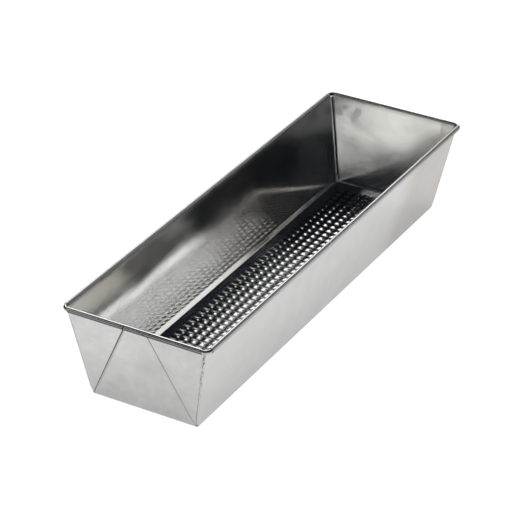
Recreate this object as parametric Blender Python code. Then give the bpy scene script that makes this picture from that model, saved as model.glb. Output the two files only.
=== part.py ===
"""Loaf tin: one folded sheet of tinplate whose rolled rim closes round a steel wire.

Units are metres.  +X runs along the tin, +Y across it and +Z up.  The origin is the middle of the
underside, on the surface that the tin stands on.
"""

import math

import bmesh
import bpy
from mathutils import Vector

# Driving dimensions.
SHEET = 0.00035  # thickness of the tinplate
WIRE_LENGTH = 0.3500  # rim wire's rectangle, along X, on the wire's centre line
WIRE_WIDTH = 0.1034  # rim wire's rectangle, along Y
WIRE_HEIGHT = 0.0639  # wire's centre above the underside
WIRE_RADIUS = 0.00115
WIRE_BEND = 0.0040  # centre-line radius of the wire at the four corners
WIRE_JOINT = 0.0005  # gap between the wire's two butted ends
BASE_LENGTH = 0.3285  # underside, from end wall to end wall
BASE_WIDTH = 0.0767  # underside, from long wall to long wall
ROLL_CLEARANCE = 0.0003  # between the wire and the inside of the roll
PLY_GAP = 0.0001  # between sheets that are folded against each other
SLIT = 0.0003  # between a long wall and the hem of the end wall, seen from inside
BASE_BEND = 0.0008  # middle radius of the bend between the bottom and a wall
CORNER_BEND = 0.0009  # middle radius of the bend between a long wall and a gusset
BASE_CORNER = 0.0004  # plan radius of the bottom's corners
ROLL_WRAP = math.radians(280.0)  # how far the roll turns round the wire
ROLL_STOP = WIRE_BEND  # the rolls end where the wire starts to bend

# Heights where the pieces of the fold meet.
FOLD_BASE = 0.0009  # where the upright folds start
FOLD_TOP_BELOW_WIRE = 0.00145  # how far the folds end below the wire's centre
LAP = 0.0007  # how far the bottom tray and the rolls run into the folds
LAP_INSET = 0.00003  # how much thinner each side of a lap is than the sheet

# Facets.
BASE_BEND_STEPS = 5
CORNER_STEPS = 6
FOLD_STEPS = 6
ROLL_STEPS = 18
WIRE_BEND_STEPS = 8
WIRE_BEVEL_RESOLUTION = 4

# Derived sizes.
ROLL_INNER = WIRE_RADIUS + ROLL_CLEARANCE
ROLL_MIDDLE = ROLL_INNER + SHEET / 2
FOLD_TOP = WIRE_HEIGHT - FOLD_TOP_BELOW_WIRE


def wall_tilt(wire_half, base_half):
    """Angle from upright of a wall that starts at the underside's edge and grazes the roll's inside."""
    run = wire_half - base_half
    reach = math.hypot(run, WIRE_HEIGHT)
    return math.atan2(run, WIRE_HEIGHT) - math.asin(ROLL_INNER / reach)


SIDE_TILT = wall_tilt(WIRE_WIDTH / 2, BASE_WIDTH / 2)
END_TILT = wall_tilt(WIRE_LENGTH / 2, BASE_LENGTH / 2)


def wall_offset(base_half, tilt, height):
    """Distance from the tin's middle to the middle of a wall's sheet, at a height."""
    return base_half - SHEET / (2 * math.cos(tilt)) + height * math.tan(tilt)


def gusset_slope():
    """Sideways run of a gusset's free edge for each unit of height.

    The corner of the blank is folded in two, so its half angle is half of what the lean of the corner
    edge in each wall leaves of a right angle.
    """
    side_slant = WIRE_HEIGHT / math.cos(SIDE_TILT)
    end_slant = WIRE_HEIGHT / math.cos(END_TILT)
    lean_in_side = math.atan(WIRE_HEIGHT * math.tan(END_TILT) / side_slant)
    lean_in_end = math.atan(WIRE_HEIGHT * math.tan(SIDE_TILT) / end_slant)
    half_angle = (math.pi / 2 - lean_in_side - lean_in_end) / 2
    return math.tan(half_angle - lean_in_end) / math.cos(END_TILT)


def arc(centre_x, centre_y, radius, start, end, steps):
    """Points along an arc, ends included."""
    points = []
    for step in range(steps + 1):
        angle = start + (end - start) * step / steps
        points.append((centre_x + radius * math.cos(angle), centre_y + radius * math.sin(angle)))
    return points


def corner_fold(height):
    """Plan of the folded sheet at the +X +Y corner, from the long wall to the end wall.

    The long wall bends round the corner and becomes the gusset's outer ply.  The gusset doubles back
    at its free edge, and its inner ply turns over at the hem to become the end wall.
    """
    wall_y = wall_offset(BASE_WIDTH / 2, SIDE_TILT, height)
    wall_x = wall_offset(BASE_LENGTH / 2, END_TILT, height)
    ply_step = (SHEET + PLY_GAP) / math.cos(END_TILT)
    outer_x = wall_x + 2 * ply_step
    turn = ply_step / 2
    hem_y = wall_y - SHEET - SLIT - turn
    lowest_edge = wall_offset(BASE_WIDTH / 2, SIDE_TILT, FOLD_BASE) - 2 * (SHEET + turn) - SLIT
    free_edge = lowest_edge - (height - FOLD_BASE) * gusset_slope()
    bend = arc(outer_x - CORNER_BEND, wall_y - CORNER_BEND, CORNER_BEND, math.pi / 2, 0, CORNER_STEPS)
    edge = arc(outer_x - turn, free_edge, turn, 0, -math.pi, FOLD_STEPS)
    hem = arc(wall_x + turn, hem_y, turn, 0, math.pi, FOLD_STEPS)
    return bend + edge + hem


def fold_plan(height):
    """Plan of the sheet's middle line, all the way round the tin."""
    quarter = corner_fold(height)
    flipped = quarter[::-1]
    loop = list(quarter)
    loop += [(x, -y) for x, y in flipped]
    loop += [(-x, -y) for x, y in quarter]
    loop += [(-x, y) for x, y in flipped]
    return loop


def offset_loop(loop, distance):
    """A closed plan moved sideways: to the left of its direction where distance is positive."""
    moved = []
    for index, point in enumerate(loop):
        here = Vector(point)
        before = (here - Vector(loop[index - 1])).normalized()
        after = (Vector(loop[(index + 1) % len(loop)]) - here).normalized()
        left = Vector((-before.y - after.y, before.x + after.x)).normalized()
        mitre = left.dot(Vector((-before.y, before.x)))
        moved.append(here + left * (distance / mitre))
    return moved


def loop_vertices(mesh, loop, height):
    return [mesh.verts.new((x, y, height)) for x, y in loop]


def bridge(mesh, lower, upper):
    """Quads between two loops with the same number of vertices."""
    count = len(lower)
    for index in range(count):
        after = (index + 1) % count
        mesh.faces.new((lower[index], lower[after], upper[after], upper[index]))


def finish(mesh, name):
    """Turn a bmesh into an object whose faces point out."""
    bmesh.ops.recalc_face_normals(mesh, faces=mesh.faces)
    data = bpy.data.meshes.new(name)
    mesh.to_mesh(data)
    mesh.free()
    item = bpy.data.objects.new(name, data)
    bpy.context.scene.collection.objects.link(item)
    return item


def upright_folds():
    """Walls, gussets and hems: one band of sheet that goes all the way round."""
    mesh = bmesh.new()
    rings = []
    for height in (FOLD_BASE, FOLD_TOP):
        plan = fold_plan(height)
        left = loop_vertices(mesh, offset_loop(plan, SHEET / 2), height)
        right = loop_vertices(mesh, offset_loop(plan, -SHEET / 2), height)
        rings.append((left, right))
    (low_left, low_right), (high_left, high_right) = rings
    bridge(mesh, low_left, high_left)
    bridge(mesh, low_right, high_right)
    bridge(mesh, low_left, low_right)
    bridge(mesh, high_left, high_right)
    return finish(mesh, "upright_folds")


def bend_profile(base_half, tilt, shift):
    """Section of the bottom's bend and lap, as (distance from the middle, height).

    shift moves the section from the middle of the sheet: outwards and down where it is positive.
    """
    centre_z = SHEET / 2 + BASE_BEND
    centre = wall_offset(base_half, tilt, centre_z) - BASE_BEND / math.cos(tilt)
    profile = arc(centre, centre_z, BASE_BEND + shift, -math.pi / 2, -tilt, BASE_BEND_STEPS)
    lap_shift = shift - math.copysign(LAP_INSET, shift)
    for height in (FOLD_BASE + LAP_INSET, FOLD_BASE + LAP):
        profile.append((wall_offset(base_half, tilt, height) + lap_shift / math.cos(tilt), height))
    return profile


def tray_loop(mesh, end_point, side_point, radius):
    """Vertices round the bottom: a rounded rectangle whose corners blend the two heights."""
    (half_x, end_z), (half_y, side_z) = end_point, side_point
    quarter = []
    for step in range(CORNER_STEPS + 1):
        share = step / CORNER_STEPS
        angle = share * math.pi / 2
        x = half_x - radius * (1 - math.cos(angle))
        y = half_y - radius * (1 - math.sin(angle))
        quarter.append((x, y, end_z + (side_z - end_z) * share))
    flipped = quarter[::-1]
    points = list(quarter)
    points += [(-x, y, z) for x, y, z in flipped]
    points += [(-x, -y, z) for x, y, z in quarter]
    points += [(x, -y, z) for x, y, z in flipped]
    return [mesh.verts.new(point) for point in points]


def tray_skin(mesh, shift):
    """One face of the bottom's sheet, from its middle out to the top of its lap."""
    ends = bend_profile(BASE_LENGTH / 2, END_TILT, shift)
    sides = bend_profile(BASE_WIDTH / 2, SIDE_TILT, shift)
    loops = []
    for end_point, side_point in zip(ends, sides):
        radius = BASE_CORNER + (end_point[0] - ends[0][0])
        loops.append(tray_loop(mesh, end_point, side_point, radius))
    mesh.faces.new(loops[0])
    for lower, upper in zip(loops, loops[1:]):
        bridge(mesh, lower, upper)
    return loops[-1]


def bottom_tray():
    """Bottom of the tin with the bend up into each wall."""
    mesh = bmesh.new()
    outer_rim = tray_skin(mesh, SHEET / 2)
    inner_rim = tray_skin(mesh, -SHEET / 2)
    bridge(mesh, outer_rim, inner_rim)
    return finish(mesh, "bottom_tray")


def roll_section(tilt):
    """Closed outline of a roll and the strip of wall below it.

    Points are (outwards, up) from the wire's centre.  The strip runs into the wall below.
    """
    inwards = Vector((-math.cos(tilt), math.sin(tilt)))
    up_wall = Vector((math.sin(tilt), math.cos(tilt)))
    half = SHEET / 2
    strip = [(-(FOLD_TOP_BELOW_WIRE + LAP), half - LAP_INSET), (-FOLD_TOP_BELOW_WIRE / 2, half)]
    near = []
    far = []
    for along, half_thickness in strip:
        near.append(inwards * (ROLL_MIDDLE + half_thickness) + up_wall * along)
        far.append(inwards * (ROLL_MIDDLE - half_thickness) + up_wall * along)
    for step in range(ROLL_STEPS + 1):
        angle = ROLL_WRAP * step / ROLL_STEPS
        spoke = inwards * math.cos(angle) + up_wall * math.sin(angle)
        near.append(spoke * (ROLL_MIDDLE + half))
        far.append(spoke * (ROLL_MIDDLE - half))
    return near, far


def rolled_edge(name, tilt, half_length, place):
    """Roll along one wall: its section carried in a straight line.

    place turns (along the wall, outwards, up) into a point of the tin.
    """
    near, far = roll_section(tilt)
    mesh = bmesh.new()
    ends = []
    for along in (-half_length, half_length):
        near_row = [mesh.verts.new(place(along, point.x, point.y)) for point in near]
        far_row = [mesh.verts.new(place(along, point.x, point.y)) for point in far]
        ends.append(near_row + far_row[::-1])
        for index in range(len(near) - 1):
            mesh.faces.new((near_row[index], near_row[index + 1], far_row[index + 1], far_row[index]))
    bridge(mesh, ends[0], ends[1])
    return finish(mesh, name)


def rolled_edges():
    """The four rolls, which stop short of the corners."""
    side_half = WIRE_LENGTH / 2 - ROLL_STOP
    end_half = WIRE_WIDTH / 2 - ROLL_STOP
    rolls = []
    for sign in (-1, 1):

        def on_side(along, out, up, sign=sign):
            return (along, sign * (WIRE_WIDTH / 2 + out), WIRE_HEIGHT + up)

        def on_end(along, out, up, sign=sign):
            return (sign * (WIRE_LENGTH / 2 + out), along, WIRE_HEIGHT + up)

        rolls.append(rolled_edge("side_roll", SIDE_TILT, side_half, on_side))
        rolls.append(rolled_edge("end_roll", END_TILT, end_half, on_end))
    return rolls


def unite(target, additions):
    """Join overlapping solids into one body and remove the pieces that it was made from."""
    for addition in additions:
        union = target.modifiers.new("join", "BOOLEAN")
        union.operation = "UNION"
        union.solver = "EXACT"
        union.object = addition
    graph = bpy.context.evaluated_depsgraph_get()
    joined = bpy.data.meshes.new_from_object(target.evaluated_get(graph))
    target.modifiers.clear()
    target.data = joined
    for addition in additions:
        bpy.data.objects.remove(addition)


def tinplate():
    """Bright rolled tinplate."""
    material = bpy.data.materials.new("tinplate")
    material.use_nodes = True
    shader = material.node_tree.nodes["Principled BSDF"]
    shader.inputs["Base Color"].default_value = (0.78, 0.78, 0.77, 1.0)
    shader.inputs["Metallic"].default_value = 1.0
    shader.inputs["Roughness"].default_value = 0.22
    return material


def drawn_wire():
    """Tinned steel wire, a little darker than the sheet."""
    material = bpy.data.materials.new("drawn_wire")
    material.use_nodes = True
    shader = material.node_tree.nodes["Principled BSDF"]
    shader.inputs["Base Color"].default_value = (0.60, 0.60, 0.60, 1.0)
    shader.inputs["Metallic"].default_value = 1.0
    shader.inputs["Roughness"].default_value = 0.28
    return material


def folded_sheet():
    """The whole sheet: bottom, walls, gussets, hems and rolls in one body."""
    sheet = upright_folds()
    unite(sheet, [bottom_tray()] + rolled_edges())
    sheet.name = "folded_sheet"
    sheet.data.materials.clear()
    sheet.data.materials.append(tinplate())
    sheet.data.shade_smooth()
    sheet.data.set_sharp_from_angle(angle=math.radians(35.0))
    return sheet


def wire_route():
    """Centre line of the rim wire, from one butted end round to the other."""
    half_x = WIRE_LENGTH / 2
    half_y = WIRE_WIDTH / 2
    inner_x = half_x - WIRE_BEND
    inner_y = half_y - WIRE_BEND
    quarter_turn = math.pi / 2
    route = [(WIRE_JOINT / 2, half_y)]
    route += arc(inner_x, inner_y, WIRE_BEND, quarter_turn, 0, WIRE_BEND_STEPS)
    route += arc(inner_x, -inner_y, WIRE_BEND, 0, -quarter_turn, WIRE_BEND_STEPS)
    route += arc(-inner_x, -inner_y, WIRE_BEND, -quarter_turn, -2 * quarter_turn, WIRE_BEND_STEPS)
    route += arc(-inner_x, inner_y, WIRE_BEND, 2 * quarter_turn, quarter_turn, WIRE_BEND_STEPS)
    route.append((-WIRE_JOINT / 2, half_y))
    return route


def rim_wire():
    """Steel wire inside the rolls, bent to a rectangle with round corners."""
    curve = bpy.data.curves.new("rim_wire", "CURVE")
    curve.dimensions = "3D"
    curve.bevel_depth = WIRE_RADIUS
    curve.bevel_resolution = WIRE_BEVEL_RESOLUTION
    curve.use_fill_caps = True
    route = wire_route()
    spline = curve.splines.new("POLY")
    spline.points.add(len(route) - 1)
    for point, (x, y) in zip(spline.points, route):
        point.co = (x, y, WIRE_HEIGHT, 1.0)
    spline.use_smooth = True
    wire = bpy.data.objects.new("rim_wire", curve)
    bpy.context.scene.collection.objects.link(wire)
    curve.materials.append(drawn_wire())
    return wire


def main():
    for item in list(bpy.data.objects):
        bpy.data.objects.remove(item)
    folded_sheet()
    rim_wire()


main()
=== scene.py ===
"""Loaf tin: one sheet of tinplate with folded corners, a waffle bottom and a rim rolled on a wire.

Units are metres, in the CAD frame: +X along the tin, +Y across it, +Z up, origin on the underside.
"""

import math

import bmesh
import bpy
from mathutils import Matrix, Vector, noise


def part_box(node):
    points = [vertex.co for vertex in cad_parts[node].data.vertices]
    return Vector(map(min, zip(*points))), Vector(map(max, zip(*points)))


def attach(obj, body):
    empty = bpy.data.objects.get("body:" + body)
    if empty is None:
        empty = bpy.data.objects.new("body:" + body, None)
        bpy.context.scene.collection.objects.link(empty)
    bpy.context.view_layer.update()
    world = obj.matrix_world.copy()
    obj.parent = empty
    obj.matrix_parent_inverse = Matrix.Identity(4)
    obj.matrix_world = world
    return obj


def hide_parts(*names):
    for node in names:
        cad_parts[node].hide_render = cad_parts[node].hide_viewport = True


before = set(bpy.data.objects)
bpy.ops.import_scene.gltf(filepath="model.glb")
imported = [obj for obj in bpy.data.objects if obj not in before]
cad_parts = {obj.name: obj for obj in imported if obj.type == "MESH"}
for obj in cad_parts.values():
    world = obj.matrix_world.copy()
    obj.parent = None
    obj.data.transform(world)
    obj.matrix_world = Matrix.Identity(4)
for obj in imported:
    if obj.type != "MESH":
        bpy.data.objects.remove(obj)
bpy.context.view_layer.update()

# Sizes taken from the frame.
wire_low, wire_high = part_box("rim_wire")
sheet_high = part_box("folded_sheet")[1]
CAD_WIRE_RADIUS = (wire_high.z - wire_low.z) / 2
WIRE_HEIGHT = (wire_high.z + wire_low.z) / 2
WIRE_HALF_X = wire_high.x - CAD_WIRE_RADIUS
WIRE_HALF_Y = wire_high.y - CAD_WIRE_RADIUS
ROLL_OUTER = sheet_high.x - WIRE_HALF_X

# Driving dimensions, as in the CAD source.
SHEET = 0.00035  # thickness of the tinplate
BASE_HALF_X = 0.3285 / 2
BASE_HALF_Y = 0.0767 / 2
BASE_BEND = 0.0008  # middle radius of the bend between the bottom and a wall
BASE_CORNER = 0.0004  # radius of the flat bottom's corners, seen from above
CORNER_BEND = 0.0009  # middle radius of the bend between a long wall and a gusset
WIRE_BEND = 0.0040  # middle radius of the wire's corners
PLY_GAP = 0.0001  # space between two folded plies
SLIT = 0.0003  # space between a hem and the long wall beside it, inside
ROLL_WRAP = math.radians(280.0)
FOLD_BASE = 0.0009  # height at which the folded plies start
FOLD_TOP_BELOW_WIRE = 0.00145

# Derived sizes.
ROLL_MIDDLE = ROLL_OUTER - SHEET / 2
ROLL_INNER = ROLL_OUTER - SHEET
WIRE_PLAY = 0.00004  # the roll is closed tight on the wire
WIRE_RADIUS = ROLL_INNER - WIRE_PLAY
FOLD_TOP = WIRE_HEIGHT - FOLD_TOP_BELOW_WIRE
ROLL_END_X = WIRE_HALF_X - WIRE_BEND
ROLL_END_Y = WIRE_HALF_Y - WIRE_BEND

# Waffle pressed up into the bottom.
PAD_PITCH_X = 0.00626
PAD_PITCH_Y = 0.00635
PAD_COLUMNS = 49
PAD_ROWS = 9
PAD_CENTRE = (0.0016, 0.0026)
PAD_HEIGHT = 0.00055
PAD_ROUNDNESS = 1.6  # power of a pad's section: 2 is a parabola, and less is more pointed
FLOOR_CELLS = 10  # mesh cells across a pad on the inside
UNDER_CELLS = 5  # mesh cells across a pad on the underside
WAFFLE_MARGIN = 0.0006  # flat strip of the mesh round the pads

# Slight unevenness of the walls: its depth, and its cells for each metre along X and across it.
LONG_WAVES = (0.00022, 14, 22)
SHORT_WAVES = (0.00004, 45, 60)
SHORT_WAVES_SHIFT = 7
WAVES_FADE_HEIGHT = 0.02  # they fade out over this height at the bottom and at the rim
WAVES_FADE_WIDTH = 0.012  # and over this width at the corners
WALL_REACH = 0.003  # a vertex this near the middle of a wall's sheet is on that wall

# The wire's butt joint and mesh.
WIRE_JOINT_HALF = 0.00025
WIRE_BEND_STEPS = 14
WIRE_SIDES = 24

# Facets.
BEND_STEPS = 6
CORNER_STEPS = 8
FOLD_STEPS = 8
PLY_CELLS = 6
SIDE_CELLS = 84
END_CELLS = 24
ROLL_STEPS = 26
LOW_HEIGHTS = (0.0009, 0.0012, 0.0017, 0.0025, 0.0036, 0.0050, 0.0068)
WALL_CELLS = 16
MITRE_LEAST = 0.5  # keeps a sharp turn of the plan from sticking out far
BEND_INSET = 0.0006  # flat ring of the mesh inside the bottom's bends
BEND_SHARE = 0.8  # share of the bottom's corner that goes to the long wall's bend, not to the plies
SHARP_ANGLE = math.radians(50.0)

FOLD_TAPER = 0.0060  # height over which the folded plies open from the corner's point
FOLD_PINCH = 0.12  # what is left of them at the point

# Walls are numbered 0 +X end, 1 -Y side, 2 -X end and 3 +Y side, as they come in a loop.
END_WALLS = (0, 2)
PLUS_WALLS = (0, 3)


def wall_tilt(wire_half, base_half):
    """Angle from upright of a wall that starts at the underside's edge and grazes the roll."""
    run = wire_half - base_half
    reach = math.hypot(run, WIRE_HEIGHT)
    return math.atan2(run, WIRE_HEIGHT) - math.asin(ROLL_INNER / reach)


SIDE_TILT = wall_tilt(WIRE_HALF_Y, BASE_HALF_Y)
END_TILT = wall_tilt(WIRE_HALF_X, BASE_HALF_X)


def smooth(value):
    """0 below 0, 1 above 1 and a soft step between them."""
    value = min(1.0, max(0.0, value))
    return value * value * (3 - 2 * value)


def mix(low, high, share):
    """Low at share 0 and high at share 1."""
    return low + (high - low) * share


def wall_offset(base_half, tilt, height):
    """Distance from the tin's middle to the middle of a wall's sheet, at a height."""
    return base_half - SHEET / (2 * math.cos(tilt)) + height * math.tan(tilt)


def gusset_slope():
    """Sideways run of a gusset's free edge for each unit of height."""
    side_slant = WIRE_HEIGHT / math.cos(SIDE_TILT)
    end_slant = WIRE_HEIGHT / math.cos(END_TILT)
    lean_in_side = math.atan(WIRE_HEIGHT * math.tan(END_TILT) / side_slant)
    lean_in_end = math.atan(WIRE_HEIGHT * math.tan(SIDE_TILT) / end_slant)
    half_angle = (math.pi / 2 - lean_in_side - lean_in_end) / 2
    return math.tan(half_angle - lean_in_end) / math.cos(END_TILT)


GUSSET_SLOPE = gusset_slope()


def arc(centre_x, centre_y, radius, start, end, steps):
    """Points along an arc, ends included."""
    points = []
    for step in range(steps + 1):
        angle = mix(start, end, step / steps)
        points.append((centre_x + radius * math.cos(angle), centre_y + radius * math.sin(angle)))
    return points


# The sheet: plan of the folds ---------------------------------------------------------------------


def pinch(height):
    """How far the folded plies have opened at a height, from FOLD_PINCH at the bottom to 1."""
    return mix(FOLD_PINCH, 1.0, smooth((height - FOLD_BASE) / FOLD_TAPER))


def corner_fold(height):
    """Plan of the sheet's middle at the +X +Y corner, as (x, y, thickness), long wall to end wall.

    The long wall bends round the corner and becomes the gusset's outer ply.  The gusset doubles
    back at its free edge, and its inner ply turns over at the hem to become the end wall.
    """
    open_share = pinch(height)
    ply = SHEET * open_share
    wall_y = wall_offset(BASE_HALF_Y, SIDE_TILT, height)
    wall_x = wall_offset(BASE_HALF_X, END_TILT, height)
    ply_step = (SHEET + PLY_GAP) * open_share / math.cos(END_TILT)
    outer_x = wall_x + 2 * ply_step
    turn = ply_step / 2
    hem_gap = SHEET + SLIT * open_share + turn
    hem_y = wall_y - hem_gap
    lowest_edge = wall_offset(BASE_HALF_Y, SIDE_TILT, FOLD_BASE) - (hem_gap + turn + ply)
    free_edge = lowest_edge - (height - FOLD_BASE) * GUSSET_SLOPE
    centre = (outer_x - CORNER_BEND, wall_y - CORNER_BEND)
    bend = arc(*centre, CORNER_BEND, math.pi / 2, 0, CORNER_STEPS)
    edge = arc(outer_x - turn, free_edge, turn, 0, -math.pi, FOLD_STEPS)
    hem = arc(wall_x + turn, hem_y, turn, 0, math.pi, FOLD_STEPS)
    points = []
    for step, (x, y) in enumerate(bend):
        points.append((x, y, mix(SHEET, ply, step / CORNER_STEPS)))
    for step in range(1, PLY_CELLS):
        points.append((outer_x, mix(bend[-1][1], free_edge, step / PLY_CELLS), ply))
    points += [(x, y, ply) for x, y in edge]
    for step in range(1, PLY_CELLS):
        points.append((edge[-1][0], mix(free_edge, hem_y, step / PLY_CELLS), ply))
    for step, (x, y) in enumerate(hem):
        points.append((x, y, mix(ply, SHEET, step / FOLD_STEPS)))
    return points


CORNER_POINTS = (CORNER_STEPS + 1) + 2 * (PLY_CELLS - 1) + 2 * (FOLD_STEPS + 1)


def tray_corner(half_x, half_y, radius):
    """Plan of the bottom's corner, as (x, y, share of the long wall), to go with corner_fold's."""
    ply_points = CORNER_POINTS - 1 - CORNER_STEPS
    points = []
    for index in range(CORNER_POINTS):
        if index <= CORNER_STEPS:
            share = BEND_SHARE * index / CORNER_STEPS
        else:
            share = mix(BEND_SHARE, 1.0, (index - CORNER_STEPS) / ply_points)
        angle = (1 - share) * math.pi / 2
        x = half_x - radius * (1 - math.cos(angle))
        y = half_y - radius * (1 - math.sin(angle))
        points.append((x, y, 1 - share))
    return points


def stretch_shares(roll_end, start, cells):
    """Places along a wall, as shares of its half length, from one end of its roll to the other."""
    end_share = roll_end / start
    return [mix(end_share, -end_share, step / cells) for step in range(cells + 1)]


TOP_CORNER = corner_fold(FOLD_TOP)
SIDE_SHARES = stretch_shares(ROLL_END_X, TOP_CORNER[0][0], SIDE_CELLS)
END_SHARES = stretch_shares(ROLL_END_Y, TOP_CORNER[-1][1], END_CELLS)


def full_loop(quarter):
    """The whole plan from its +X +Y quarter: corner, end wall, corner, long wall and so on.

    Each point is (x, y, value); the value is a thickness or a share, and a wall takes its corner's.
    """
    flipped = quarter[::-1]
    end_x, end_y, end_value = quarter[-1]
    side_x, side_y, side_value = quarter[0]
    loop = list(quarter)
    loop += [(end_x, end_y * share, end_value) for share in END_SHARES]
    loop += [(x, -y, value) for x, y, value in flipped]
    loop += [(side_x * share, -side_y, side_value) for share in SIDE_SHARES]
    loop += [(-x, -y, value) for x, y, value in quarter]
    loop += [(-end_x, -end_y * share, end_value) for share in END_SHARES]
    loop += [(-x, y, value) for x, y, value in flipped]
    loop += [(-side_x * share, side_y, side_value) for share in SIDE_SHARES]
    return loop


def wall_spans():
    """First and last index of each wall's roll in the loop, in the order of the walls' numbers."""
    spans = []
    start = 0
    for shares in (END_SHARES, SIDE_SHARES, END_SHARES, SIDE_SHARES):
        start += CORNER_POINTS
        spans.append((start, start + len(shares) - 1))
        start += len(shares)
    return spans


def offset_loop(loop, side):
    """The plan moved by half of each point's thickness, to the left for side 1 and right for -1."""
    moved = []
    for index, (x, y, thickness) in enumerate(loop):
        here = Vector((x, y))
        before = (here - Vector(loop[index - 1][:2])).normalized()
        after = (Vector(loop[(index + 1) % len(loop)][:2]) - here).normalized()
        left = Vector((-before.y - after.y, before.x + after.x)).normalized()
        mitre = max(MITRE_LEAST, left.dot(Vector((-before.y, before.x))))
        place = here + left * (side * thickness / 2 / mitre)
        moved.append((place.x, place.y))
    return moved


# The sheet: surfaces ------------------------------------------------------------------------------


def bend_profile(base_half, tilt, shift):
    """Section of the bend between the bottom and a wall, as (distance from the middle, height)."""
    centre_z = SHEET / 2 + BASE_BEND
    centre = wall_offset(base_half, tilt, centre_z) - BASE_BEND / math.cos(tilt)
    return arc(centre, centre_z, BASE_BEND + shift, -math.pi / 2, -tilt, BEND_STEPS)


def tray_rings(shift):
    """Rings of points round the bottom's edge, from the flat out to the top of the bend."""
    ends = bend_profile(BASE_HALF_X, END_TILT, shift)
    sides = bend_profile(BASE_HALF_Y, SIDE_TILT, shift)
    ends.insert(0, (ends[0][0] - BEND_INSET, ends[0][1]))
    sides.insert(0, (sides[0][0] - BEND_INSET, sides[0][1]))
    rings = []
    for (half_x, end_z), (half_y, side_z) in zip(ends, sides):
        radius = BASE_CORNER + max(0.0, half_x - ends[1][0])
        quarter = tray_corner(half_x, half_y, radius)
        rings.append([(x, y, mix(end_z, side_z, share)) for x, y, share in full_loop(quarter)])
    return rings


def wall_heights():
    """Heights of the walls' rings, close together where the plies open."""
    heights = list(LOW_HEIGHTS)
    for step in range(1, WALL_CELLS + 1):
        heights.append(mix(LOW_HEIGHTS[-1], FOLD_TOP, step / WALL_CELLS))
    return heights


def wall_rings(side):
    """Rings of points up one face of the walls and the folded corners."""
    rings = []
    for height in wall_heights():
        plan = offset_loop(full_loop(corner_fold(height)), side)
        rings.append([(x, y, height) for x, y in plan])
    return rings


def roll_rows(tilt, side):
    """Section of the sheet above the folds, as (outwards, up) from the wire's centre."""
    inwards = Vector((-math.cos(tilt), math.sin(tilt)))
    up_wall = Vector((math.sin(tilt), math.cos(tilt)))
    radius = ROLL_MIDDLE + side * SHEET / 2
    rows = [inwards * radius - up_wall * (FOLD_TOP_BELOW_WIRE / 2)]
    for step in range(ROLL_STEPS + 1):
        angle = ROLL_WRAP * step / ROLL_STEPS
        rows.append((inwards * math.cos(angle) + up_wall * math.sin(angle)) * radius)
    return rows


def pad_rise(x, y):
    """Height of the waffle above the flat bottom at a point, from 0 to PAD_HEIGHT."""
    along = (x - PAD_CENTRE[0]) / PAD_PITCH_X + PAD_COLUMNS / 2
    across = (y - PAD_CENTRE[1]) / PAD_PITCH_Y + PAD_ROWS / 2
    if not (0 < along < PAD_COLUMNS and 0 < across < PAD_ROWS):
        return 0.0
    u = abs(2 * (along % 1.0) - 1)
    v = abs(2 * (across % 1.0) - 1)
    return PAD_HEIGHT * (1 - u**PAD_ROUNDNESS) * (1 - v**PAD_ROUNDNESS)


def waffle(mesh, cells, level):
    """Grid of the waffle, and the closed ring of its border vertices."""
    count_x = PAD_COLUMNS * cells
    count_y = PAD_ROWS * cells
    low_x = PAD_CENTRE[0] - PAD_COLUMNS * PAD_PITCH_X / 2
    low_y = PAD_CENTRE[1] - PAD_ROWS * PAD_PITCH_Y / 2
    xs = [low_x + PAD_PITCH_X * step / cells for step in range(count_x + 1)]
    ys = [low_y + PAD_PITCH_Y * step / cells for step in range(count_y + 1)]
    xs = [xs[0] - WAFFLE_MARGIN] + xs + [xs[-1] + WAFFLE_MARGIN]
    ys = [ys[0] - WAFFLE_MARGIN] + ys + [ys[-1] + WAFFLE_MARGIN]
    grid = [[mesh.verts.new((x, y, level + pad_rise(x, y))) for y in ys] for x in xs]
    for column, after in zip(grid, grid[1:]):
        for row in range(len(ys) - 1):
            mesh.faces.new((column[row], after[row], after[row + 1], column[row + 1]))
    border = [column[0] for column in grid]
    border += grid[-1][1:]
    border += [column[-1] for column in grid[::-1][1:]]
    border += grid[0][::-1][1:-1]
    return border


def ring_edges(mesh, ring):
    """Edges of a closed ring of vertices, made where they aren't there yet."""
    pairs = zip(ring, ring[1:] + ring[:1])
    return [mesh.edges.get(pair) or mesh.edges.new(pair) for pair in pairs]


def bridge(mesh, lower, upper):
    """Quads between two closed rings with the same number of vertices."""
    count = len(lower)
    for index in range(count):
        after = (index + 1) % count
        mesh.faces.new((lower[index], lower[after], upper[after], upper[index]))


def skin(mesh, side, cells, level):
    """One face of the sheet below the rolls, 1 outside or -1 inside.  Returns its top ring."""
    points = tray_rings(side * SHEET / 2) + wall_rings(side)
    rings = [[mesh.verts.new(point) for point in ring] for ring in points]
    for lower, upper in zip(rings, rings[1:]):
        bridge(mesh, lower, upper)
    border = waffle(mesh, cells, level)
    edges = ring_edges(mesh, rings[0]) + ring_edges(mesh, border)
    bmesh.ops.triangle_fill(mesh, edges=edges, use_beauty=True)
    return rings[-1]


def roll_place(wall, along, section):
    """Point of a wall's roll, from its place along the wall and its place in the roll's section."""
    out, up = section
    sign = 1 if wall in PLUS_WALLS else -1
    if wall in END_WALLS:
        return (sign * (WIRE_HALF_X + out), along, WIRE_HEIGHT + up)
    return (along, sign * (WIRE_HALF_Y + out), WIRE_HEIGHT + up)


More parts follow.
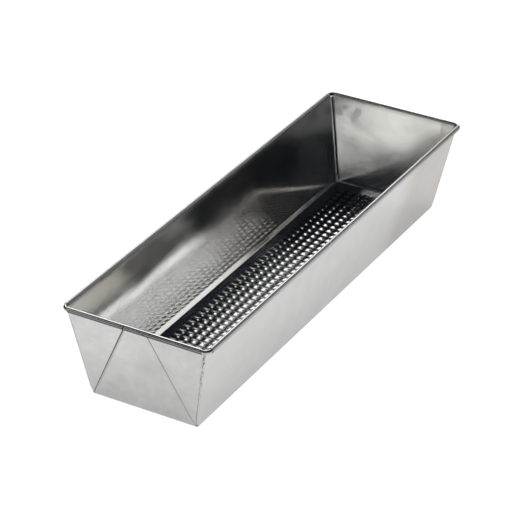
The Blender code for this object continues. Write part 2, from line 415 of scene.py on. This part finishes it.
def roll_skin(mesh, wall, top, side):
    """Rows of one roll's face above the top ring's stretch; the first row is that stretch."""
    tilt = END_TILT if wall in END_WALLS else SIDE_TILT
    rows = [top]
    for section in roll_rows(tilt, side):
        row = []
        for vertex in top:
            along = vertex.co.y if wall in END_WALLS else vertex.co.x
            row.append(mesh.verts.new(roll_place(wall, along, section)))
        rows.append(row)
    for row, after in zip(rows, rows[1:]):
        for index in range(len(row) - 1):
            mesh.faces.new((row[index], row[index + 1], after[index + 1], after[index]))
    return rows


def close_edges(mesh, outer_top, inner_top):
    """Rolls on each wall, and the cut edges between the two faces of the sheet."""
    count = len(outer_top)
    covered = set()
    for wall, (start, stop) in enumerate(wall_spans()):
        covered.update(range(start, stop))
        outer_rows = roll_skin(mesh, wall, outer_top[start:stop + 1], -1)
        inner_rows = roll_skin(mesh, wall, inner_top[start:stop + 1], 1)
        for end in (0, -1):
            for level in range(len(outer_rows) - 1):
                mesh.faces.new((
                    outer_rows[level][end],
                    outer_rows[level + 1][end],
                    inner_rows[level + 1][end],
                    inner_rows[level][end],
                ))
        lip_outer = outer_rows[-1]
        lip_inner = inner_rows[-1]
        for index in range(len(lip_outer) - 1):
            mesh.faces.new((
                lip_outer[index],
                lip_outer[index + 1],
                lip_inner[index + 1],
                lip_inner[index],
            ))
    for index in range(count):
        if index in covered:
            continue
        after = (index + 1) % count
        mesh.faces.new((outer_top[index], outer_top[after], inner_top[after], inner_top[index]))


def wave(point, along, across, shift=0):
    """Smooth noise at a point, from about -1 to 1."""
    return noise.noise(Vector((point.x * along + shift, point.y * across, point.z * across)))


def waviness(point):
    """Slight unevenness of the walls at a point, outwards."""
    rise = smooth(point.z / WAVES_FADE_HEIGHT)
    rise *= smooth((FOLD_TOP - point.z) / WAVES_FADE_HEIGHT)
    long_depth, *long_cells = LONG_WAVES
    short_depth, *short_cells = SHORT_WAVES
    long_waves = long_depth * wave(point, *long_cells)
    short_waves = short_depth * wave(point, *short_cells, SHORT_WAVES_SHIFT)
    return rise * (long_waves + short_waves)


def ruffle(mesh):
    """Move the walls' points by the waviness; both faces of the sheet move together."""
    for vertex in mesh.verts:
        push = waviness(vertex.co)
        if push == 0.0:
            continue
        base_x = wall_offset(BASE_HALF_X, END_TILT, vertex.co.z)
        base_y = wall_offset(BASE_HALF_Y, SIDE_TILT, vertex.co.z)
        if abs(abs(vertex.co.x) - base_x) < WALL_REACH:
            share = smooth((base_y - abs(vertex.co.y)) / WAVES_FADE_WIDTH)
            vertex.co.x += math.copysign(push * share, vertex.co.x)
        elif abs(abs(vertex.co.y) - base_y) < WALL_REACH:
            share = smooth((base_x - abs(vertex.co.x)) / WAVES_FADE_WIDTH)
            vertex.co.y += math.copysign(push * share, vertex.co.y)


def to_object(mesh, name, material):
    """Smooth-shaded object from a mesh in the making, with its cut edges kept sharp."""
    bmesh.ops.recalc_face_normals(mesh, faces=mesh.faces)
    data = bpy.data.meshes.new(name)
    mesh.to_mesh(data)
    mesh.free()
    data.materials.append(material)
    data.shade_smooth()
    data.set_sharp_from_angle(angle=SHARP_ANGLE)
    item = bpy.data.objects.new(name, data)
    bpy.context.scene.collection.objects.link(item)
    return item


def tin_sheet():
    """The folded sheet, from its two faces, its rolls and its cut edges."""
    mesh = bmesh.new()
    outer_top = skin(mesh, 1, UNDER_CELLS, 0.0)
    inner_top = skin(mesh, -1, FLOOR_CELLS, SHEET)
    close_edges(mesh, outer_top, inner_top)
    ruffle(mesh)
    return to_object(mesh, "tin_sheet", tinplate())


# The wire -----------------------------------------------------------------------------------------


def wire_route():
    """Centre line of the wire, from one butted end round to the other."""
    route = [(WIRE_JOINT_HALF, WIRE_HALF_Y)]
    corners = ((1, 1, 1, 0), (1, -1, 0, -1), (-1, -1, -1, -2), (-1, 1, 2, 1))
    for sign_x, sign_y, *quarters in corners:
        start, end = [quarter * math.pi / 2 for quarter in quarters]
        centre = (sign_x * ROLL_END_X, sign_y * ROLL_END_Y)
        route += arc(*centre, WIRE_BEND, start, end, WIRE_BEND_STEPS)
    route.append((-WIRE_JOINT_HALF, WIRE_HALF_Y))
    return route


def wire_tube():
    """Round wire swept along its route, with its ends cut square."""
    mesh = bmesh.new()
    upwards = Vector((0, 0, 1))
    route = [Vector((x, y, WIRE_HEIGHT)) for x, y in wire_route()]
    rings = []
    for index, here in enumerate(route):
        before = route[max(0, index - 1)]
        after = route[min(len(route) - 1, index + 1)]
        along = (after - before).normalized()
        out = along.cross(upwards)
        ring = []
        for step in range(WIRE_SIDES):
            angle = 2 * math.pi * step / WIRE_SIDES
            spoke = out * math.cos(angle) + upwards * math.sin(angle)
            ring.append(mesh.verts.new(here + spoke * WIRE_RADIUS))
        rings.append(ring)
    for lower, upper in zip(rings, rings[1:]):
        bridge(mesh, lower, upper)
    mesh.faces.new(rings[0])
    mesh.faces.new(rings[-1])
    return to_object(mesh, "wire_loop", drawn_wire())


# Materials ----------------------------------------------------------------------------------------

# Textures: the noise's cells for each metre, its detail and its roughness.  Three cell numbers, for
# X, Y and Z, make stretched cells.
CLOUDS = (45.0, 4.0, 0.6)
BLOTCHES = (95.0, 6.0, 0.68)
STREAKS = ((30.0, 900.0, 900.0), 2.0, 0.5)
GRAIN = (1700.0, 2.0, 0.5)
SCRATCHES = ((60.0, 2600.0, 420.0), 1.0, 0.5)
RAGGED = ((1500.0, 1500.0, 260.0), 3.0, 0.7)
WIRE_CLOUDS = (120.0, 3.0, 0.6)

# Noise stays near its middle, so this range of it is stretched to the full one.
MOST_OF_NOISE = (0.3, 0.7)

# Each fade below is given by where it is off and where it is full, in that order.
END_FACING = (0.08, 0.12)  # X times the normal's X: above 0 outside an end wall, below 0 inside it
FACES_END = (0.5, 0.8)
FACES_UP = (0, 0.2)
MIDDLE = (-0.004, 0.004)  # Y at which one half of the tin gives way to the other

# Dirt and painted crevice shade along the outside of a gusset's free edge, and what there is of
# them on the -Y half.
FOLD_LINE_START = corner_fold(FOLD_BASE)[CORNER_STEPS + PLY_CELLS][1] - SHEET - PLY_GAP / 2
FOLD_LINE_NARROW = 0.00035
FOLD_LINE_WIDE = 0.0007
FOLD_LINE_EDGE = (1.0, 0.4)  # in widths of the line
FOLD_LINE_NEAR = 0.62

# Stains and a broken dark line on the outer corner bends, and what there is of them on the +Y half.
CORNER_REACH = (0.0030, 0.0012)
STAIN_NOISE = (0.50, 0.60)
STAIN_HEIGHTS = (0.030, 0.044)
STAIN_LOW_SHARE = 0.15
CREASE_IN = 0.0013
CREASE_WIDTH = 0.0005
CREASE_NOISE = (0.36, 0.56, 0.25, 0.8)
STAINS_FAR = 0.4
POINT_RISE = 0.9  # how much height counts in the darkening at a corner's lowest point

# Cloudy smudge inside an end.
SMUDGE_NOISE = (0.44, 0.60)
SMUDGE_ACROSS = (0.008, 0.034)
SMUDGE_HEIGHTS = (0.034, 0.054)

# The rolls: their underside, with painted shade, their scuffed outside, and the long ones.
BEYOND_WIRE = (-0.0004, 0.0004)
LONG_SIDE_SHARE = 0.45
ROLL_UNDERSIDE = (0.0010, -0.0002)
SCUFFED_HEIGHTS = (-0.0024, -0.0013)
LONG_RIM = (-0.0024, -0.0014)

# Painted shade in the waffle's grooves.
GROOVE_HEIGHTS = (0.00036, 0.00006)
GROOVE_BORDER = 0.001

# Painted reflection: the far part of one long side is painted darker and warmer.
REFLECTION_START = 0.070
REFLECTION_LENGTH = 0.035
REFLECTION_LEAN = 0.35
REFLECTION_SIDE = (-BASE_HALF_Y + 0.001, -BASE_HALF_Y)

# What each mark leaves of the metal's brightness, and adds to its roughness; some are painted
# light.
MARKS = {
    "scuffed": (0.96, 0.06),
    "long_rim": (1.0, 0.17),
    # Painted light: the inside of the ends is painted brighter.
    "inside_end": (1.09, 0.025),
    "smudge": (0.76, 0.08),
    # Painted shade in the crevices, with dirt and stains.
    "dirt_and_shade": (0.14, 0.3),
    # Painted shade in the waffle's grooves.
    "groove_shade": (0.28, 0.0),
    # Painted shade under the rolls.
    "under_roll_shade": (0.16, 0.0),
    # Painted reflection, darker and warmer.
    "painted_reflection": (0.83, 0.0),
}
TIN_BRIGHTNESS = 0.745
POLISH = (0.36, 0.62, -0.06, 0.05)
POLISH_ON_SIDES = 0.45  # the cloudy polish is weaker away from the ends
GRAIN_SHADE = (0.985, 1.015)
CLOUD_ROUGHNESS = (0.07, 0.12)
STREAK_ROUGHNESS = (-0.01, 0.02)
SCRATCH_NOISE = (0.68, 0.76)
SCRATCH_ROUGHNESS = 0.03
SCRATCH_DEPTH = -0.25
BEND_ROUGHNESS = (0.0008, 0.0018, 0.05, 0)  # the bottom is duller than the walls
GREEN_LEFT = 0.975  # green and blue, beside red: what the painted reflection leaves, and what clean tin has
BLUE_CLEAN = 0.985
BLUE_LEFT = 0.93
BUMP_STRENGTH = 0.2
BUMP_DISTANCE = 0.00002

WIRE_DARK = (0.50, 0.50, 0.49, 1.0)
WIRE_LIGHT = (0.64, 0.64, 0.63, 1.0)
WIRE_ROUGHNESS = (0.16, 0.28)


class Nodes:
    """Short way to write a node tree."""

    def __init__(self, tree):
        self.tree = tree

    def add(self, kind, **values):
        node = self.tree.nodes.new(kind)
        for key, value in values.items():
            setattr(node, key, value)
        return node

    def link(self, source, target):
        self.tree.links.new(source, target)

    def math(self, operation, *values):
        """Result of a Math node; a value is a number or another node's output."""
        node = self.add("ShaderNodeMath", operation=operation)
        for socket, value in zip(node.inputs, values):
            if isinstance(value, (int, float)):
                socket.default_value = value
            else:
                self.link(value, socket)
        return node.outputs[0]

    def times(self, first, *others):
        for other in others:
            first = self.math("MULTIPLY", first, other)
        return first

    def plus(self, first, *others):
        for other in others:
            first = self.math("ADD", first, other)
        return first

    def minus(self, first, second):
        return self.math("SUBTRACT", first, second)

    def size(self, value):
        return self.math("ABSOLUTE", value)

    def parts(self, vector):
        node = self.add("ShaderNodeSeparateXYZ")
        self.link(vector, node.inputs[0])
        return node.outputs

    def noise(self, place, cells, detail, roughness):
        if isinstance(cells, tuple):
            stretch = self.add("ShaderNodeMapping")
            stretch.inputs["Scale"].default_value = cells
            self.link(place, stretch.inputs["Vector"])
            place = stretch.outputs["Vector"]
            cells = 1.0
        node = self.add("ShaderNodeTexNoise")
        node.inputs["Scale"].default_value = cells
        node.inputs["Detail"].default_value = detail
        node.inputs["Roughness"].default_value = roughness
        self.link(place, node.inputs["Vector"])
        return node.outputs["Fac"]

    def span(self, value, from_low, from_high, to_low, to_high, soft=False):
        """The value moved from one range to another, and kept inside it."""
        node = self.add("ShaderNodeMapRange")
        if soft:
            node.interpolation_type = "SMOOTHSTEP"
        node.inputs["From Min"].default_value = from_low
        node.inputs["From Max"].default_value = from_high
        node.inputs["To Min"].default_value = to_low
        node.inputs["To Max"].default_value = to_high
        self.link(value, node.inputs["Value"])
        return node.outputs["Result"]

    def ramp(self, value, off, full):
        """Mask that goes evenly from 0 where the value is off to 1 where it is full."""
        return self.span(value, off, full, 0, 1)

    def fade(self, value, off, full, highest=1):
        """Mask like ramp's, with soft ends."""
        return self.span(value, off, full, 0, highest, True)

    def marked(self, value, mask, share):
        """The value, of which the share is left where the mask is 1."""
        return self.times(value, self.span(mask, 0, 1, 1, share))


def new_material(name):
    material = bpy.data.materials.new(name)
    material.use_nodes = True
    shader = material.node_tree.nodes["Principled BSDF"]
    shader.inputs["Metallic"].default_value = 1.0
    return material, Nodes(material.node_tree), shader


def moved(limits, by):
    return [limit + by for limit in limits]


def end_dirt_and_shade(nodes, place, outside_end):
    """Outside an end: dirt and painted crevice shade by the gussets, marks on the bends, dark
    points.
    """
    _, y, z = nodes.parts(place)
    side = nodes.size(y)

    # Painted crevice shade, with dirt, in a dark line beside the gusset's free edge.
    free_edge = nodes.minus(FOLD_LINE_START, nodes.times(nodes.minus(z, FOLD_BASE), GUSSET_SLOPE))
    line_width = nodes.span(z, 0.0, FOLD_TOP, FOLD_LINE_NARROW, FOLD_LINE_WIDE)
    line = nodes.math("DIVIDE", nodes.size(nodes.minus(side, free_edge)), line_width)
    fold_line = nodes.times(nodes.fade(line, *FOLD_LINE_EDGE), outside_end)
    fold_line = nodes.times(fold_line, nodes.span(y, *MIDDLE, FOLD_LINE_NEAR, 1))

    wall_side = nodes.plus(nodes.times(z, math.tan(SIDE_TILT)), BASE_HALF_Y)
    to_corner = nodes.minus(wall_side, side)
    near_corner = nodes.times(nodes.fade(to_corner, *CORNER_REACH), outside_end)
    ragged = nodes.noise(place, *RAGGED)
    stained = nodes.times(nodes.fade(ragged, *STAIN_NOISE), near_corner)
    stained = nodes.times(stained, nodes.span(z, *STAIN_HEIGHTS, STAIN_LOW_SHARE, 1, True))
    crease = nodes.fade(nodes.size(nodes.minus(to_corner, CREASE_IN)), CREASE_WIDTH, 0)
    crease = nodes.times(crease, nodes.span(ragged, *CREASE_NOISE), outside_end)
    stained = nodes.math("MAXIMUM", stained, crease)
    stained = nodes.times(stained, nodes.span(y, *MIDDLE, 1, STAINS_FAR))

    # Darker at the corners' lowest points.
    point = nodes.plus(nodes.times(z, POINT_RISE), to_corner)
    point_dark = nodes.times(nodes.fade(point, *CORNER_REACH), outside_end)
    return nodes.math("MAXIMUM", nodes.math("MAXIMUM", fold_line, stained), point_dark)


def under_roll_shade(nodes, place):
    """Painted shade on the underside of the rolls, darkest at the ends."""
    x, y, z = nodes.parts(place)
    beyond_end = nodes.fade(nodes.size(x), *moved(BEYOND_WIRE, WIRE_HALF_X))
    beyond_side = nodes.fade(nodes.size(y), *moved(BEYOND_WIRE, WIRE_HALF_Y), LONG_SIDE_SHARE)
    below = nodes.fade(z, *moved(ROLL_UNDERSIDE, WIRE_HEIGHT))
    return nodes.times(nodes.math("MAXIMUM", beyond_end, beyond_side), below)


def groove_shade(nodes, place, upright):
    """Painted shade in the waffle's grooves, inside."""
    mask = nodes.fade(nodes.parts(place)[2], *moved(GROOVE_HEIGHTS, SHEET))
    mask = nodes.times(mask, nodes.ramp(upright, *FACES_UP))
    for axis, (count, pitch) in enumerate(((PAD_COLUMNS, PAD_PITCH_X), (PAD_ROWS, PAD_PITCH_Y))):
        half = count * pitch / 2
        away = nodes.size(nodes.minus(nodes.parts(place)[axis], PAD_CENTRE[axis]))
        mask = nodes.times(mask, nodes.ramp(away, half, half - GROOVE_BORDER))
    return mask


def painted_reflection(nodes, place):
    """Painted reflection on the far part of one long side, outside: darker and warmer."""
    x, y, z = nodes.parts(place)
    far = nodes.minus(x, nodes.times(z, REFLECTION_LEAN))
    far = nodes.fade(far, REFLECTION_START, REFLECTION_START + REFLECTION_LENGTH)
    return nodes.times(far, nodes.ramp(y, *REFLECTION_SIDE))


def tinplate():
    """Bright tinplate: cloudy polish, rolling streaks, fine scratches, marks of use, and painted
    shade and light.
    """
    material, nodes, shader = new_material("tinplate")
    coordinates = nodes.add("ShaderNodeTexCoord")
    place = coordinates.outputs["Object"]
    x, y, z = nodes.parts(place)
    facing, _, upright = nodes.parts(coordinates.outputs["Normal"])
    clouds = nodes.noise(place, *CLOUDS)
    blotches = nodes.noise(place, *BLOTCHES)
    streaks = nodes.noise(place, *STREAKS)
    grain = nodes.noise(place, *GRAIN)
    scratches = nodes.noise(place, *SCRATCHES)

    outwards = nodes.times(x, facing)
    outside_end = nodes.ramp(outwards, *END_FACING)
    # Painted light: the inside of the ends is painted brighter, and the smudge lies there too.
    inside_end = nodes.ramp(outwards, *[-limit for limit in END_FACING])
    smudge = nodes.times(nodes.fade(blotches, *SMUDGE_NOISE), inside_end)
    smudge = nodes.times(smudge, nodes.fade(y, *SMUDGE_ACROSS), nodes.fade(z, *SMUDGE_HEIGHTS))
    scuffed = nodes.fade(z, *moved(SCUFFED_HEIGHTS, WIRE_HEIGHT))
    masks = {
        "scuffed": scuffed,
        "long_rim": nodes.times(scuffed, nodes.ramp(nodes.size(y), *moved(LONG_RIM, WIRE_HALF_Y))),
        "inside_end": inside_end,
        "smudge": smudge,
        "dirt_and_shade": end_dirt_and_shade(nodes, place, outside_end),
        "groove_shade": groove_shade(nodes, place, upright),
        "under_roll_shade": under_roll_shade(nodes, place),
        "painted_reflection": painted_reflection(nodes, place),
    }

    polish = nodes.plus(nodes.times(clouds, 0.5), nodes.times(blotches, 0.5))
    on_end = nodes.span(nodes.size(facing), *FACES_END, POLISH_ON_SIDES, 1)
    shade = nodes.times(nodes.span(polish, *POLISH), on_end)
    shade = nodes.plus(shade, TIN_BRIGHTNESS)
    shade = nodes.times(shade, nodes.span(grain, *MOST_OF_NOISE, *GRAIN_SHADE))
    rough = nodes.span(clouds, *MOST_OF_NOISE, *CLOUD_ROUGHNESS)
    rough = nodes.plus(rough, nodes.span(streaks, *MOST_OF_NOISE, *STREAK_ROUGHNESS))
    rough = nodes.plus(rough, nodes.span(scratches, *SCRATCH_NOISE, 0, SCRATCH_ROUGHNESS))
    for name, (brightness_left, added_roughness) in MARKS.items():
        if brightness_left != 1.0:
            shade = nodes.marked(shade, masks[name], brightness_left)
        if added_roughness:
            rough = nodes.plus(rough, nodes.times(masks[name], added_roughness))
    rough = nodes.plus(rough, nodes.span(z, *BEND_ROUGHNESS, True))
    nodes.link(rough, shader.inputs["Roughness"])

    # The painted reflection is warmer as well as darker.
    colour = nodes.add("ShaderNodeCombineColor")
    green = nodes.marked(shade, masks["painted_reflection"], GREEN_LEFT)
    blue = nodes.times(shade, nodes.span(masks["painted_reflection"], 0, 1, BLUE_CLEAN, BLUE_LEFT))
    for channel, socket in zip((shade, green, blue), colour.inputs):
        nodes.link(channel, socket)
    nodes.link(colour.outputs[0], shader.inputs["Base Color"])

    bump = nodes.add("ShaderNodeBump")
    bump.inputs["Strength"].default_value = BUMP_STRENGTH
    bump.inputs["Distance"].default_value = BUMP_DISTANCE
    depth = nodes.span(scratches, *SCRATCH_NOISE, 0, SCRATCH_DEPTH)
    nodes.link(nodes.plus(grain, streaks, depth), bump.inputs["Height"])
    nodes.link(bump.outputs["Normal"], shader.inputs["Normal"])
    return material


def drawn_wire():
    """Grey drawn steel, slightly cloudy."""
    material, nodes, shader = new_material("drawn_wire")
    place = nodes.add("ShaderNodeTexCoord").outputs["Object"]
    clouds = nodes.noise(place, *WIRE_CLOUDS)
    ramp = nodes.add("ShaderNodeValToRGB")
    stops = zip(ramp.color_ramp.elements, MOST_OF_NOISE, (WIRE_DARK, WIRE_LIGHT))
    for element, position, colour in stops:
        element.position = position
        element.color = colour
    nodes.link(clouds, ramp.inputs["Fac"])
    nodes.link(ramp.outputs["Color"], shader.inputs["Base Color"])
    roughness = nodes.span(clouds, *MOST_OF_NOISE, *WIRE_ROUGHNESS)
    nodes.link(roughness, shader.inputs["Roughness"])
    return material


# Stage --------------------------------------------------------------------------------------------

# The photograph's camera.
CAMERA_PLACE = (-1.2168, -0.6668, 0.8272)
CAMERA_AZIMUTH = math.radians(-60.88)
CAMERA_ELEVATION = math.radians(30.0)
CAMERA_ROLL = math.radians(0.793)
CAMERA_LENS = 166.02
CAMERA_CLIP = (0.05, 50.0)
SENSOR = 36.0

FLOOR_HALF = 12.0
FLOOR_DROP = 0.0001
FLOOR_COLOUR = (0.85, 0.85, 0.85, 1.0)
FLOOR_ROUGHNESS = 0.9
FLOOR_GLOW = 0.35
FLOOR_SEEN_GLOW = 0.5  # more for the camera, so that the floor is a clean white behind the metal
WHITE = (1.0, 1.0, 1.0, 1.0)

LAMP_POWER = 15.6
LAMP_SIZE = 1.6
LAMP_PLACE = (-0.16, -0.62, 1.6)

# Soft panels round the tin, in degrees: middle and half width of the azimuth, its soft edge, lowest
# and highest elevation, their soft edge, and brightness.  Azimuth 0 is +X and 90 is +Y.
PANELS = (
    (31.0, 14.0, 7.0, 15.0, 35.0, 4.0, 1.9),
    (34.0, 14.0, 6.0, 37.0, 53.0, 6.0, 2.4),
    (18.0, 7.0, 5.0, 16.0, 30.0, 4.0, 1.0),
    (-19.5, 5.0, 3.5, 25.0, 31.0, 2.0, 2.6),
    (-37.0, 9.0, 5.0, 4.0, 26.0, 5.0, 0.4),
    (173.0, 12.0, 6.0, 12.0, 30.0, 6.0, 0.5),
    (140.0, 18.0, 8.0, 2.0, 12.0, 4.0, 0.25),
    (133.0, 7.0, 5.0, 33.0, 42.0, 4.0, 2.6),
    (133.0, 5.0, 4.0, 39.0, 46.0, 4.0, 1.5),
    (-132.0, 4.0, 5.0, 22.0, 32.0, 4.0, 1.2),
    (152.0, 2.0, 2.0, 40.5, 43.0, 2.0, 4.0),
    (0.0, 180.0, 10.0, 78.0, 100.0, 6.0, 0.3),
)
STUDIO_DARK = 0.010
SHADOW_TINT = (0.25, 0.45, 1.0, 1.0)
SHADOW_TINT_STRENGTH = 0.010


def camera():
    """Camera at the photograph's viewing angle."""
    data = bpy.data.cameras.new("camera")
    data.sensor_width = SENSOR
    data.lens = CAMERA_LENS
    data.clip_start, data.clip_end = CAMERA_CLIP
    item = bpy.data.objects.new("camera", data)
    turn = Matrix.Rotation(CAMERA_AZIMUTH, 4, "Z")
    turn = turn @ Matrix.Rotation(math.pi / 2 - CAMERA_ELEVATION, 4, "X")
    turn = turn @ Matrix.Rotation(CAMERA_ROLL, 4, "Z")
    item.matrix_world = Matrix.Translation(CAMERA_PLACE) @ turn
    bpy.context.scene.collection.objects.link(item)
    bpy.context.scene.camera = item


def floor():
    """Plain pale floor just under the tin."""
    mesh = bmesh.new()
    bmesh.ops.create_grid(mesh, x_segments=1, y_segments=1, size=FLOOR_HALF)
    data = bpy.data.meshes.new("floor")
    mesh.to_mesh(data)
    mesh.free()
    item = bpy.data.objects.new("floor", data)
    bpy.context.scene.collection.objects.link(item)
    material = bpy.data.materials.new("floor_white")
    material.use_nodes = True
    shader = material.node_tree.nodes["Principled BSDF"]
    shader.inputs["Base Color"].default_value = FLOOR_COLOUR
    shader.inputs["Roughness"].default_value = FLOOR_ROUGHNESS
    shader.inputs["Specular IOR Level"].default_value = 0.0
    shader.inputs["Emission Color"].default_value = WHITE
    nodes = Nodes(material.node_tree)
    seen = nodes.add("ShaderNodeLightPath").outputs["Is Camera Ray"]
    glow = nodes.plus(nodes.times(seen, FLOOR_SEEN_GLOW), FLOOR_GLOW)
    nodes.link(glow, shader.inputs["Emission Strength"])
    data.materials.append(material)
    item.location.z = -FLOOR_DROP


def lamp():
    """Broad soft lamp over the near end, which the tin's mirror-like faces don't show."""
    data = bpy.data.lights.new("soft_lamp", "AREA")
    data.shape = "RECTANGLE"
    data.size = LAMP_SIZE
    data.size_y = LAMP_SIZE
    data.energy = LAMP_POWER
    item = bpy.data.objects.new("soft_lamp", data)
    item.location = LAMP_PLACE
    item.visible_glossy = False
    bpy.context.scene.collection.objects.link(item)


def panel(nodes, azimuth, elevation, spec):
    """Brightness of one soft panel in a direction."""
    *angles, strength = spec
    middle, half, side_soft, lowest, highest, soft = [math.radians(angle) for angle in angles]
    turned = nodes.math("WRAP", nodes.minus(azimuth, middle), math.pi, -math.pi)
    across = nodes.fade(nodes.size(turned), half + side_soft, half - side_soft)
    above = nodes.fade(elevation, lowest - soft, lowest + soft)
    below = nodes.fade(elevation, highest + soft, highest - soft)
    return nodes.times(across, nodes.times(above, below), strength)


def studio():
    """Soft panels in a dark room, for the metal to reflect, behind a plain white backdrop."""
    world = bpy.data.worlds.new("studio")
    bpy.context.scene.world = world
    world.use_nodes = True
    nodes = Nodes(world.node_tree)
    world.node_tree.nodes.clear()
    output = nodes.add("ShaderNodeOutputWorld")
    direction = nodes.add("ShaderNodeTexCoord").outputs["Generated"]
    x, y, z = nodes.parts(direction)
    azimuth = nodes.math("ARCTAN2", y, x)
    elevation = nodes.math("ARCSINE", z)
    level = STUDIO_DARK
    for spec in PANELS:
        level = nodes.plus(panel(nodes, azimuth, elevation, spec), level)
    seen = nodes.add("ShaderNodeLightPath").outputs["Is Camera Ray"]
    background = nodes.add("ShaderNodeBackground")
    background.inputs["Color"].default_value = WHITE
    nodes.link(nodes.math("MAXIMUM", level, seen), background.inputs["Strength"])
    shadow_tint = nodes.add("ShaderNodeBackground")
    shadow_tint.inputs["Color"].default_value = SHADOW_TINT
    shadow_tint.inputs["Strength"].default_value = SHADOW_TINT_STRENGTH
    both = nodes.add("ShaderNodeAddShader")
    nodes.link(background.outputs[0], both.inputs[0])
    nodes.link(shadow_tint.outputs[0], both.inputs[1])
    nodes.link(both.outputs[0], output.inputs["Surface"])


def main():
    """The stage, and the two pieces, each on its body and in place of its CAD node."""
    camera()
    floor()
    lamp()
    studio()
    sheet = tin_sheet()
    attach(sheet, "root")
    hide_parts("folded_sheet")
    wire = wire_tube()
    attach(wire, "root")
    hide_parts("rim_wire")
    bpy.context.scene.view_settings.view_transform = "Standard"


main()
